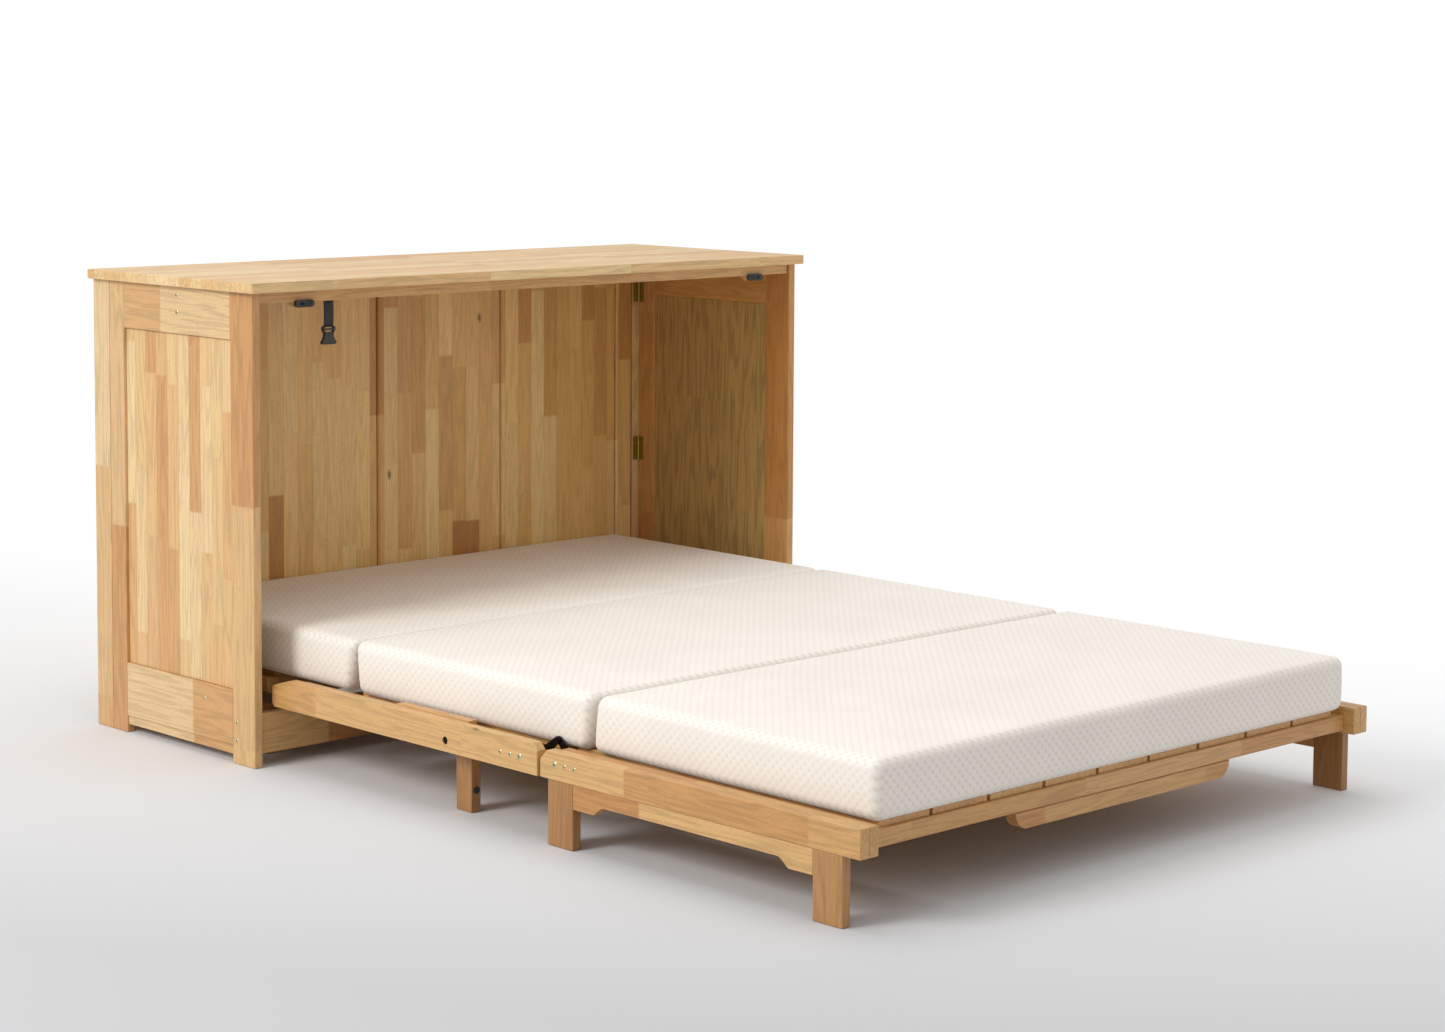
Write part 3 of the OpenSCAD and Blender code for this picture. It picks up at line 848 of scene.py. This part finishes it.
@dataclass
class ScrewSet:
    """Pan head screws on both outer faces of one body."""

    nodes: Pieces
    node: str
    places: tuple[tuple[float, float, float], ...]
    face: float
    crown: float = 0.34
    recess: float = 1.0

    def build(self) -> None:
        """Seat the screws; each place is its y, its z and its head radius."""
        points, sizes = [], []
        for side in (-1.0, 1.0):
            for y, z, radius in self.places:
                points.append(Vector((side * (self.face - 0.0006), y, z)))
                sizes.append((radius, radius, radius))
        mesh = bake_nodes(
            f"{self.node}_seated",
            point_mesh(f"{self.node}_places", points, sizes),
            screw_tree(ZINC.material(), RECESS_SHADOW.material()),
            {"Crown": self.crown, "Recess": self.recess},
        )
        mesh.shade_smooth()
        mesh.set_sharp_from_angle(angle=math.radians(40))
        piece = put(f"{self.node}_seated", mesh, None)
        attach(piece, self.nodes[self.node]["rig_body"])
        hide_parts(self.node)
        log.info("%s: %d screws", piece.name, len(points))


class End(Enum):
    """Where an end face of a foam section stands back from its neighbour."""

    SQUARE = 0.0
    BACK_AT_BOTTOM = -1.0
    BACK_AT_TOP = 1.0


@dataclass
class FoamSection:
    """One section of the folding mattress: foam in a knitted cover with rounded edges."""

    nodes: Pieces
    node: str
    foot_end: End
    head_end: End
    lap: str = ""
    radius: float = 0.021
    crown: float = 0.005
    stand_back: float = 0.014
    step: float = 0.011
    belly: float = 0.0025
    waist: float = 0.00075
    inset: float = 0.0025
    # Height, turns along X and along Y, and start of each ripple in the top
    ripples: tuple[tuple[float, float, float, float], ...] = (
        (0.0009, 9.1, 3.0, 0.0),
        (0.0008, -5.0, 14.3, 1.3),
    )

    def _lane(self, low: float, high: float) -> list[float]:
        """Space grid lines between two faces, close together on the rounded edges.

        Args:
            low: the lower face.
            high: the upper face.

        Returns:
            The positions.
        """
        r = self.radius
        edge = [0.0, 0.15, 0.32, 0.5, 0.7, 0.88, 1.0]
        inner = max(2, round((high - low - 2 * r) / self.step))
        lane = [low + r * e for e in edge]
        lane += [low + r + (high - low - 2 * r) * i / inner for i in range(1, inner)]
        lane += [high - r * e for e in reversed(edge)]
        return lane

    def _place(self, p: Vector, low: Vector, high: Vector) -> Vector:
        """Round, crown and taper one point of the block's skin.

        Args:
            p: a point on the plain box.
            low: the box's lowest corner.
            high: its highest corner.

        Returns:
            Where the point goes.
        """
        r = self.radius
        core = Vector(min(max(p[i], low[i] + r), high[i] - r) for i in range(3))
        out = p - core
        if out.length > 1e-9:
            p = core + out.normalized() * r
        middle, half = (low + high) / 2, (high - low) / 2
        u, v, w = ((p[i] - middle[i]) / half[i] for i in range(3))
        # The top swells a little between the edges, and the sides belly out at mid height
        top = max(0.0, w) ** 2
        swell = (1 - abs(u) ** 6) * (1 - abs(v) ** 6)
        ripple = sum(h * math.sin(a * p.x + b * p.y + c) for h, a, b, c in self.ripples)
        z = p.z + top * (self.crown * (swell - 0.55) + ripple * swell)
        belly = (1 - w * w) * self.belly
        waist = (1 - abs(v) ** 10) * self.waist
        x = p.x + u**7 * belly - u * abs(u) * waist - u * self.inset
        y = p.y
        for end, side in ((self.foot_end, -1.0), (self.head_end, 1.0)):
            share = max(0.0, side * v) ** 8
            lift = (1 + end.value * w) / 2 if end is not End.SQUARE else 0.0
            y -= side * share * lift * self.stand_back
        return Vector((x, y, z))

    def _part(
        self, solid: bmesh.types.BMesh, name: str, cut: float = 0.0, side: float = 0.0
    ) -> bpy.types.Object:
        """Make a closed piece of the section, all of it or what lies on one side of a cut.

        Args:
            solid: the whole section.
            name: the piece's name.
            cut: where the section is cut, along the bed.
            side: which side is kept, -1 towards the foot or 1 towards the head; 0 keeps all.

        Returns:
            The piece, dressed in its cover.
        """
        part = solid.copy()
        if side:
            found = bmesh.ops.bisect_plane(
                part,
                geom=part.verts[:] + part.edges[:] + part.faces[:],
                plane_co=(0.0, cut, 0.0),
                plane_no=(0.0, -side, 0.0),
                clear_outer=True,
            )
            rim = [e for e in found["geom_cut"] if isinstance(e, bmesh.types.BMEdge)]
            cap = bmesh.ops.contextual_create(part, geom=rim)["faces"]
            for face in cap:
                face.smooth = False
            for edge in rim:
                edge.smooth = False
            bmesh.ops.recalc_face_normals(part, faces=part.faces)
        mesh = bpy.data.meshes.new(name)
        part.to_mesh(mesh)
        part.free()
        piece = put(name, mesh, KNIT.material())
        return piece

    def build(self) -> None:
        """Make the section, and cut off its lap onto the foot frame where it has one."""
        low, high = (Vector(c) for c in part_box(self.node))
        lanes = [self._lane(low[i], high[i]) for i in range(3)]
        solid = bmesh.new()
        made: dict[tuple[int, int, int], bmesh.types.BMVert] = {}

        def corner(i: int, j: int, k: int) -> bmesh.types.BMVert:
            """Return the skin's vertex at a grid place."""
            if (i, j, k) not in made:
                p = Vector((lanes[0][i], lanes[1][j], lanes[2][k]))
                made[(i, j, k)] = solid.verts.new(self._place(p, low, high))
            return made[(i, j, k)]

        counts = [len(lane) - 1 for lane in lanes]
        for axis in range(3):
            a, b = (axis + 1) % 3, (axis + 2) % 3
            for level in (0, counts[axis]):
                for i in range(counts[a]):
                    for j in range(counts[b]):
                        ring = []
                        for da, db in ((0, 0), (1, 0), (1, 1), (0, 1)):
                            at = [0, 0, 0]
                            at[axis], at[a], at[b] = level, i + da, j + db
                            ring.append(corner(*at))
                        solid.faces.new(ring if level else ring[::-1])
        bmesh.ops.recalc_face_normals(solid, faces=solid.faces)
        for face in solid.faces:
            face.smooth = True
        if self.lap:
            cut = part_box(self.lap)[0][1]
            flap = self._part(solid, f"{self.node}_foam_end", cut, -1.0)
            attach(flap, "foot_frame")
            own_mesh(flap)
            piece = self._part(solid, f"{self.node}_foam", cut, 1.0)
        else:
            piece = self._part(solid, f"{self.node}_foam")
        solid.free()
        mesh = piece.data
        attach(piece, self.nodes[self.node]["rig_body"])
        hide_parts(self.node)
        if self.node == "mattress_head":
            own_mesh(piece)
        else:
            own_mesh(piece)
        log.info("%s: %d faces", piece.name, len(mesh.polygons))


@dataclass
class Hardware:
    """Plastic, brass and steel pieces: catches, buckle, webbing, hinges, plates and bolts."""

    nodes: Pieces
    metal: dict[str, Metal] = field(
        default_factory=lambda: {
            "corner_hinges": BRASS,
            "pivot_brackets": STEEL,
            # Painted shade: the fold plates are near black so that they read as the shadow
            # between the mattress sections
            "fold_plates_middle": DARK_STEEL_AND_SHADE,
            "fold_plates_foot": DARK_STEEL_AND_SHADE,
            "leg_pivot_bolts": DARK_STEEL_AND_SHADE,
            "catch_screws": DARK_STEEL_AND_SHADE,
        }
    )
    webbing_bow: float = 0.0015
    webbing_cup: float = 0.0006
    webbing_share: float = 0.8
    ribs: int = 5
    rib_start: float = 0.003
    rib_pitch: float = 0.0035
    rib_size: tuple[float, float, float] = (0.0012, 0.0010, 1.0)
    rib_share: float = 0.72
    buckle_half: float = 0.0032
    buckle_round: float = 0.0010

    def build(self) -> None:
        """Dress the metal and make the plastic pieces."""
        for node, finish in self.metal.items():
            self.nodes[node].data.materials.clear()
            self.nodes[node].data.materials.append(finish.material())
        for node in ("catch_left", "catch_right", "leg_bolt_left", "leg_bolt_right"):
            eased_copy(self.nodes, node, BLACK.material(), 0.0008)
        self.nodes["strap_anchor"].data.materials.clear()
        self.nodes["strap_anchor"].data.materials.append(STRAP.material())
        self._ribs()
        self._webbing()
        self._buckle()

    def _ribs(self) -> None:
        """Mould grip ribs across the face of each catch."""
        for node in ("catch_left", "catch_right"):
            low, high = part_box(node)
            middle_x = (low[0] + high[0]) / 2
            side = -1.0 if node == "catch_left" else 1.0
            offsets = (self.rib_start + self.rib_pitch * i for i in range(self.ribs))
            places = [
                Vector((middle_x - side * offset, low[1], (low[2] + high[2]) / 2))
                for offset in offsets
            ]
            sizes = [self.rib_size] * len(places)
            material = BLACK.material()
            mesh = bake_nodes(
                f"{node}_ribs",
                point_mesh(f"{node}_rib_places", places, sizes),
                board_row_tree(material),
                {"Thickness": (high[2] - low[2]) * self.rib_share},
            )
            piece = put(f"{node}_ribs", mesh, material)
            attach(piece, self.nodes[node]["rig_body"])

    def _webbing(self) -> None:
        """Hang the webbing with a slight bow and a cupped width."""
        low, high = (Vector(c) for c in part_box("strap_webbing"))
        solid = bmesh.new()
        rows, columns = 24, 8
        grid = []
        for i in range(rows + 1):
            t = i / rows
            z = high.z + (low.z - high.z) * t
            bow = self.webbing_bow * math.sin(math.pi * t)
            line = []
            for j in range(columns + 1):
                s = j / columns
                x = low.x + (high.x - low.x) * s
                cup = self.webbing_cup * math.sin(math.pi * s)
                line.append(solid.verts.new((x, (low.y + high.y) / 2 - bow - cup, z)))
            grid.append(line)
        for i in range(rows):
            for j in range(columns):
                solid.faces.new((grid[i][j], grid[i + 1][j], grid[i + 1][j + 1], grid[i][j + 1]))
        mesh = bpy.data.meshes.new("strap_webbing_band")
        solid.to_mesh(mesh)
        solid.free()
        mesh.shade_smooth()
        piece = put("strap_webbing_band", mesh, STRAP.material())
        thicken = piece.modifiers.new("thickness", "SOLIDIFY")
        thicken.thickness = (high.y - low.y) * self.webbing_share
        thicken.offset = 0.0
        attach(piece, "strap")
        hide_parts("strap_webbing")

    def _buckle(self) -> None:
        """Cast the buckle: ears, waist, flared mouth and a ladder bar above two slots."""
        low, high = (Vector(c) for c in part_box("strap_buckle"))
        middle = (low + high) / 2
        half, tall = (high.x - low.x) / 2, high.z - low.z
        outline = [
            (0.70, 1.00), (0.86, 0.92), (0.88, 0.80), (0.66, 0.62), (0.62, 0.46),
            (0.80, 0.26), (1.00, 0.15), (0.96, 0.02), (0.60, 0.00),
        ]
        ring = outline + [(-x, z) for x, z in reversed(outline)]
        slots = [
            [(-0.56, 0.93), (0.56, 0.93), (0.56, 0.86), (-0.56, 0.86)],
            [(-0.56, 0.77), (0.56, 0.77), (0.50, 0.67), (-0.50, 0.67)],
        ]
        curve = bpy.data.curves.new("buckle_outline", "CURVE")
        curve.dimensions = "2D"
        curve.fill_mode = "BOTH"
        curve.extrude = self.buckle_half
        curve.bevel_depth = self.buckle_round
        curve.bevel_resolution = 2
        curve.offset = -self.buckle_round
        for loop in (ring, *slots):
            spline = curve.splines.new("POLY")
            spline.points.add(len(loop) - 1)
            for point, (x, z) in zip(spline.points, loop):
                point.co = (x * half, z * tall, 0.0, 1.0)
            spline.use_cyclic_u = True
        holder = bpy.data.objects.new("buckle_outline", curve)
        bpy.context.scene.collection.objects.link(holder)
        bpy.context.view_layer.update()
        mesh = bpy.data.meshes.new_from_object(
            holder.evaluated_get(bpy.context.evaluated_depsgraph_get())
        )
        bpy.data.objects.remove(holder)
        stand = Matrix.Translation((middle.x, middle.y, low.z)) @ Matrix.Rotation(
            math.radians(90), 4, "X"
        )
        mesh.transform(stand)
        solid = bmesh.new()
        solid.from_mesh(mesh)
        bmesh.ops.remove_doubles(solid, verts=solid.verts, dist=1e-5)
        bmesh.ops.recalc_face_normals(solid, faces=solid.faces)
        solid.to_mesh(mesh)
        solid.free()
        mesh.name = "strap_buckle_cast"
        piece = put("strap_buckle_cast", mesh, BLACK.material())
        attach(piece, "strap")
        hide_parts("strap_buckle")


# ---- Studio ----


@dataclass
class Studio:
    """Pale floor, soft light and the camera."""

    place: tuple[float, float, float] = (-4.41597, -4.62452, 1.46067)
    yaw: float = 0.76545
    pitch: float = 0.0832
    roll: float = 0.00579
    lens_mm: float = 74.726
    shift_up: float = -0.13
    ambient: float = 0.65

    def camera(self) -> None:
        """Set the camera up at a standing person's distance, a little above the chest."""
        data = bpy.data.cameras.new("camera")
        data.sensor_width = 36.0
        data.lens = self.lens_mm
        data.shift_y = self.shift_up
        data.clip_end = 100.0
        eye = bpy.data.objects.new("camera", data)
        forward = Vector(
            (
                math.sin(self.yaw) * math.cos(self.pitch),
                math.cos(self.yaw) * math.cos(self.pitch),
                -math.sin(self.pitch),
            )
        )
        right = Vector((math.cos(self.yaw), -math.sin(self.yaw), 0.0))
        up = right.cross(forward)
        c, s = math.cos(self.roll), math.sin(self.roll)
        across = right * c + up * s
        over = up * c - right * s
        turn = Matrix((across, over, -forward)).transposed().to_4x4()
        eye.matrix_world = Matrix.Translation(self.place) @ turn
        bpy.context.scene.collection.objects.link(eye)
        bpy.context.scene.camera = eye

    def floor(self) -> None:
        """Lay a pale matt floor, painted darker at the front and glowing white behind the bed."""
        material, tree, shader = new_material("matt_studio_floor")
        # Painted light: the floor's paint is darker at the front, and a painted glow whitens it
        # into the white surround behind the bed
        per_x, per_y = 0.00105, 0.00045
        x, y, _ = add(tree, SPLIT_XYZ, None, (millimetres(tree),)).outputs
        terms = (add(tree, MATH, TIMES, (x, per_x)), add(tree, MATH, TIMES, (y, per_y)))
        back = add(tree, MATH, PLUS, terms)
        smooth = {"interpolation_type": "SMOOTHSTEP"}
        share = add(tree, "ShaderNodeMapRange", smooth, (back, -0.2, 2.2, 0.0, 1.0))
        stops = [(0.0, linear("C2C2C4")), (0.55, linear("E4E4E5")), (1.0, linear("F0F0F0"))]
        place = add(tree, MATH, TIMES_PLUS, (back, 0.3, 0.6))
        painted_floor_light = add(tree, RAMP, {"stops": stops}, (place,))
        fill(tree, shader, {"Base Color": painted_floor_light, "Roughness": 0.75, "Specular IOR Level": 0.15})
        painted_glow = add(tree, "ShaderNodeEmission", None, {"Color": grey(1.0), "Strength": 1.0})
        both = add(tree, "ShaderNodeMixShader", None, (share, shader, painted_glow))
        fill(tree, tree.nodes["Material Output"], {"Surface": both})
        mesh = bpy.data.meshes.new("studio_floor")
        far = 60.0
        mesh.from_pydata(
            [(-far, -far, 0), (far, -far, 0), (far, far, 0), (-far, far, 0)], [], [(0, 1, 2, 3)]
        )
        piece = put("studio_floor", mesh, material)
        piece.location.z = -0.0005

    def light(self) -> None:
        """Hang three large soft lights under a white surround."""
        world = bpy.data.worlds.new("white_surround")
        world.use_nodes = True
        tree = world.node_tree
        seen = add(tree, "ShaderNodeLightPath").outputs["Is Camera Ray"]
        level = add(tree, MATH, TIMES_PLUS, (seen, 1.0 - self.ambient, self.ambient))
        fill(tree, tree.nodes["Background"], {"Color": grey(1.0), "Strength": level})
        bpy.context.scene.world = world
        for name, at, aim, size, power in (
            ("key", (-5.5, 0.7, 3.5), (-0.2, 0.0, 0.4), 2.0, 182.0),
            ("fill", (0.8, -5.5, 3.2), (0.0, -0.3, 0.3), 4.0, 8.0),
            ("top", (0.0, 0.4, 5.0), (0.0, 0.0, 0.0), 4.5, 80.0),
        ):
            data = bpy.data.lights.new(name, "AREA")
            data.shape = "SQUARE"
            data.size = size
            data.energy = power
            lamp = bpy.data.objects.new(name, data)
            lamp.location = at
            lamp.rotation_euler = (Vector(aim) - Vector(at)).to_track_quat("-Z", "Y").to_euler()
            bpy.context.scene.collection.objects.link(lamp)
        bpy.context.scene.view_settings.view_transform = "Standard"

    def build(self) -> None:
        """Set the whole studio up."""
        self.camera()
        self.floor()
        self.light()


def both_sides(
    name: str, finish: Rubberwood, grain: Grain, slot: str, right: Rubberwood | None = None
) -> dict[str, tuple[Rubberwood, Grain, str]]:
    """List a left board and its right twin.

    Args:
        name: the boards' name without its side.
        finish: their finish.
        grain: how they lie.
        slot: a material slot's name, kept with the board but used by nothing here.
        right: the right board's finish where it has its own.

    Returns:
        Node name to finish, grain and slot, the left board first.
    """
    return {
        f"{name}_left": (finish, grain, slot),
        f"{name}_right": (right or finish, grain, slot),
    }


def main() -> None:
    """Build every sub-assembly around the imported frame."""
    logging.basicConfig(level=logging.INFO, format="%(name)s: %(message)s")
    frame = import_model()
    nodes = frame["nodes"]
    Studio().build()

    cabinet = {
        "top_panel": (TOP, Grain.ALONG_X_FLAT, "pale_wood"),
        **both_sides("corner_post", STILE, Grain.UPRIGHT_SIDE, "wood"),
        # The right side's stiles and rails take the darker tints of painted shade
        **both_sides("rear_stile", STILE, Grain.UPRIGHT_SIDE, "wood", PAINTED_SHADE_STILE),
        **both_sides("front_stile", STILE, Grain.UPRIGHT_SIDE, "pale_wood", PAINTED_SHADE_STILE),
        **both_sides("side_top_rail", STILE, Grain.ALONG_Y_ON_EDGE, "wood", PAINTED_SHADE_STILE),
        **both_sides("side_bottom_rail", STILE, Grain.ALONG_Y_ON_EDGE, "wood", PAINTED_SHADE_STILE),
        **both_sides("side_panel", OUTSIDE, Grain.UPRIGHT_SIDE, "pale_wood"),
        "side_liners": (LINER, Grain.UPRIGHT_SIDE, "plywood"),
        "back_planks": (INSIDE, Grain.UPRIGHT_BACK, "back_wood"),
        "back_rails": (FRAME, Grain.ALONG_X_ON_EDGE, "wood"),
        "front_apron": (FRAME, Grain.ALONG_X_ON_EDGE, "wood"),
        "plinth": (FRAME, Grain.ALONG_X_ON_EDGE, "wood"),
        "head_rails": (FRAME, Grain.ALONG_Y_ON_EDGE, "wood"),
        "head_cross_rails": (FRAME, Grain.ALONG_X_ON_EDGE, "wood"),
        "head_legs": (FRAME, Grain.UPRIGHT_SIDE, "wood"),
    }
    middle = {
        **both_sides("middle_rail", FRAME, Grain.ALONG_Y_ON_EDGE, "wood"),
        "middle_inner_rails": (FRAME, Grain.ALONG_Y_ON_EDGE, "wood"),
        "middle_cross_rails": (FRAME, Grain.ALONG_X_ON_EDGE, "wood"),
        **both_sides("middle_leg", PAINTED_SHADE_LEG, Grain.UPRIGHT_SIDE, "wood"),
    }
    foot = {
        **both_sides("foot_rail", FRAME, Grain.ALONG_Y_ON_EDGE, "wood"),
        "foot_inner_rails": (FRAME, Grain.ALONG_Y_ON_EDGE, "wood"),
        **both_sides("foot_apron", FRAME, Grain.ALONG_Y_ON_EDGE, "wood"),
        **both_sides("foot_legs", PAINTED_SHADE_LEG, Grain.UPRIGHT_SIDE, "wood"),
        "foot_cross_rail": (FRAME, Grain.ALONG_X_ON_EDGE, "wood"),
        "foot_end_rail": (FRAME, Grain.ALONG_X_ON_EDGE, "wood"),
        "handle_board": (FRAME, Grain.ALONG_X_ON_EDGE, "wood"),
    }
    for boards in (cabinet, middle, foot):
        Joinery(nodes, boards).build()
    for deck in ("head_slats", "middle_slats", "foot_slats"):
        SlatDeck(nodes, deck).build()

    side_face = -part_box("front_stile_left")[0][0]
    rail_face = -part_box("middle_rail_left")[0][0]
    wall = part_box("corner_post_left")[1][1]
    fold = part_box("middle_rail_left")[0][1]
    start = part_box("foot_rail_left")[1][1]
    small, large = 0.0054, 0.0076
    # How far each screw stands from the wall, and its height
    cabinet_places = (
        (0.330, 0.988),
        (0.330, 0.951),
        (0.424, 0.123),
        (0.544, 0.089),
        (0.544, 0.050),
    )
    fold_row = [(fold + 0.052 + 0.029 * i, 0.156) for i in range(3)]
    foot_row = [(start - 0.043 - 0.028 * i, 0.158) for i in range(3)]
    heads = (large, small, small)
    for node, places, face in (
        ("cabinet_screws", [(wall - back, z, small) for back, z in cabinet_places], side_face),
        ("middle_screws", [(*at, head) for at, head in zip(fold_row, heads)], rail_face),
        ("foot_screws", [(*at, head) for at, head in zip(foot_row, heads)], rail_face),
    ):
        ScrewSet(nodes, node, tuple(places), face).build()
    Hardware(nodes).build()
    FoamSection(nodes, "mattress_head", End.BACK_AT_BOTTOM, End.SQUARE).build()
    # The part past the middle rails' ends lies on the foot section, and folds away with it
    FoamSection(
        nodes,
        "mattress_middle",
        End.BACK_AT_BOTTOM,
        End.BACK_AT_BOTTOM,
        lap="middle_rail_left",
    ).build()
    FoamSection(nodes, "mattress_foot", End.SQUARE, End.BACK_AT_TOP).build()


if __name__ == "__main__":
    main()
